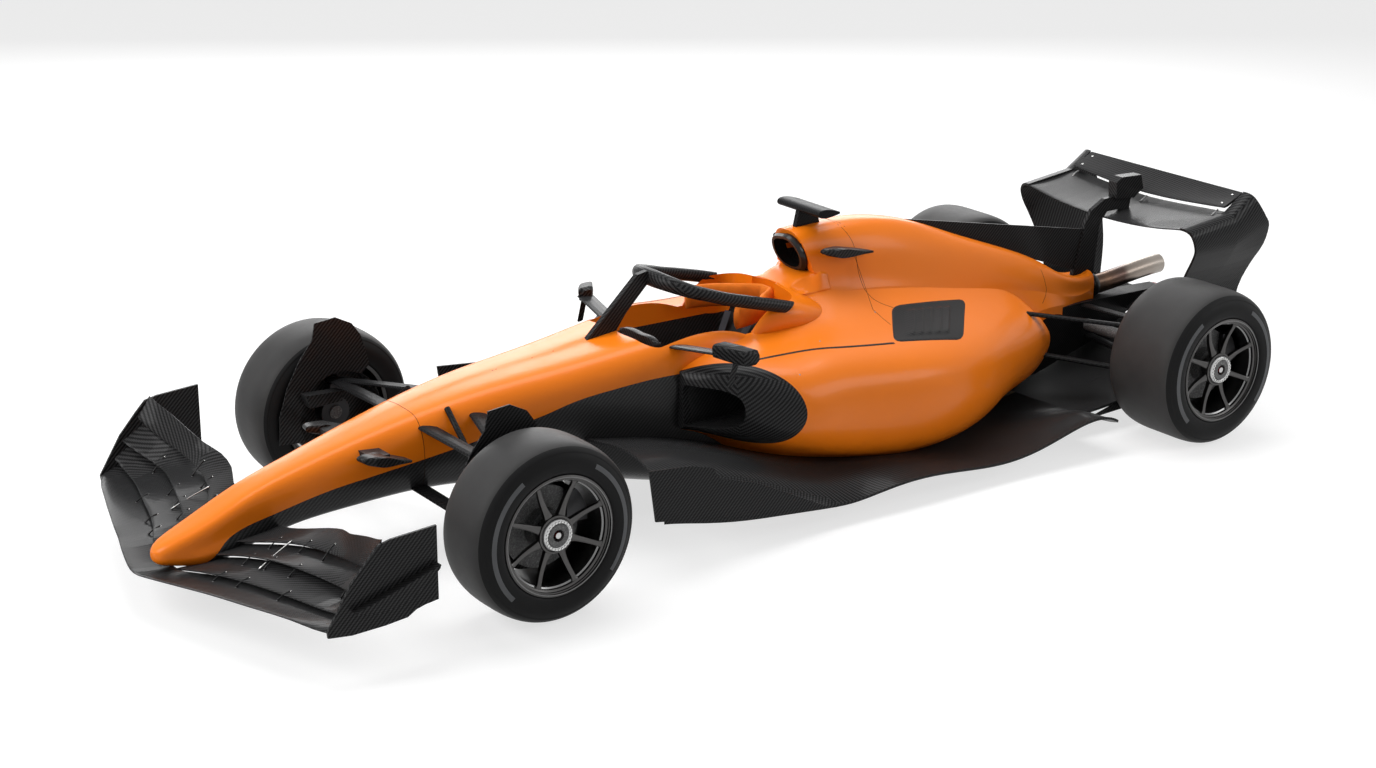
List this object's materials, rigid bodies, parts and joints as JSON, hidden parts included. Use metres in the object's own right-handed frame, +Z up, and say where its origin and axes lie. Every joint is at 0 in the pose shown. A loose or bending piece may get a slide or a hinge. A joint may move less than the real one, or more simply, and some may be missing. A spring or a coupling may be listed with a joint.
{
  "type": "open wheel racing car",
  "caption": "Low single seat open wheel racing car with slick tyres, multi-element front and rear wings, a halo over the open cockpit and sculpted sidepods.",
  "frame": {"origin": "on the ground, below the middle of the car's overall length and width", "axes": "+X towards the nose, +Y to the car's left, +Z up"},
  "size_m": [5.5917, 2, 1.1574],
  "materials": {
    "orange_paint": "satin gloss",
    "carbon": "satin twill",
    "black_trim": "matte",
    "skid_wood": "matte",
    "tyre": "matte",
    "rim_metal": "satin",
    "steel": "satin",
    "bare_aluminium": "satin",
    "engine_block": "matte",
    "exhaust_metal": "heat tinted",
    "lamp": "gloss"
  },
  "bodies": {
    "chassis": {"airbox_intake": "black_trim", "beam_wing": "carbon", "camera_mast": "black_trim", "camera_pods": "carbon", "cockpit_surround": "orange_paint", "diffuser": "carbon", "engine_cover": "orange_paint", "exhaust": "exhaust_metal", "floor": "carbon", "front_suspension": "carbon", "front_wing_endplates": "carbon", "front_wing_flaps": "carbon", "front_wing_main_plane": "carbon", "gearbox": "bare_aluminium", "halo": "carbon", "mirrors": "carbon", "monocoque": "carbon", "nose_cone": "orange_paint", "plank": "skid_wood", "power_unit": "engine_block", "rain_light": "lamp", "rear_brake_drums": "carbon", "rear_suspension": "carbon", "rear_uprights": "bare_aluminium", "rear_wing_endplates": "carbon", "rear_wing_main_plane": "carbon", "rear_wing_pylon": "carbon", "seat": "black_trim", "shark_fin": "carbon", "sidepod_inlets": "carbon", "sidepods": "orange_paint", "steering_wheel": "carbon"},
    "upright_front_left": {"front_upright_left": "bare_aluminium", "front_duct_left": "carbon"},
    "upright_front_right": {"front_upright_right": "bare_aluminium", "front_duct_right": "carbon"},
    "wheel_front_left": {"tyre_front_left": "tyre", "rim_front_left": "rim_metal", "hub_front_left": "steel"},
    "wheel_front_right": {"tyre_front_right": "tyre", "rim_front_right": "rim_metal", "hub_front_right": "steel"},
    "wheel_rear_left": {"tyre_rear_left": "tyre", "rim_rear_left": "rim_metal", "hub_rear_left": "steel"},
    "wheel_rear_right": {"tyre_rear_right": "tyre", "rim_rear_right": "rim_metal", "hub_rear_right": "steel"},
    "drs": {"drs_flap": "carbon"}
  },
  "joints": [
    {"name": "steer_left", "type": "hinge", "parent": "chassis", "child": "upright_front_left", "pos_m": [1.55, 0.742, 0.36], "axis": [0, 0, 1], "range_deg": [-15, 15]},
    {"name": "steer_right", "type": "hinge", "parent": "chassis", "child": "upright_front_right", "pos_m": [1.55, -0.742, 0.36], "axis": [0, 0, 1], "range_deg": [-15, 15]},
    {"name": "wheel_front_left", "type": "hinge", "parent": "upright_front_left", "child": "wheel_front_left", "pos_m": [1.55, 0.85, 0.36], "axis": [0, 1, 0], "continuous": true},
    {"name": "wheel_front_right", "type": "hinge", "parent": "upright_front_right", "child": "wheel_front_right", "pos_m": [1.55, -0.85, 0.36], "axis": [0, 1, 0], "continuous": true},
    {"name": "wheel_rear_left", "type": "hinge", "parent": "chassis", "child": "wheel_rear_left", "pos_m": [-2.05, 0.8, 0.36], "axis": [0, 1, 0], "continuous": true},
    {"name": "wheel_rear_right", "type": "hinge", "parent": "chassis", "child": "wheel_rear_right", "pos_m": [-2.05, -0.8, 0.36], "axis": [0, 1, 0], "continuous": true},
    {"name": "rear_flap", "type": "hinge", "parent": "chassis", "child": "drs", "pos_m": [-2.6, 0, 0.973], "axis": [0, -1, 0], "range_deg": [0, 25]}
  ],
  "couplings": [
    {"joint": "steer_right", "follows": "steer_left", "ratio": 1}
  ]
}
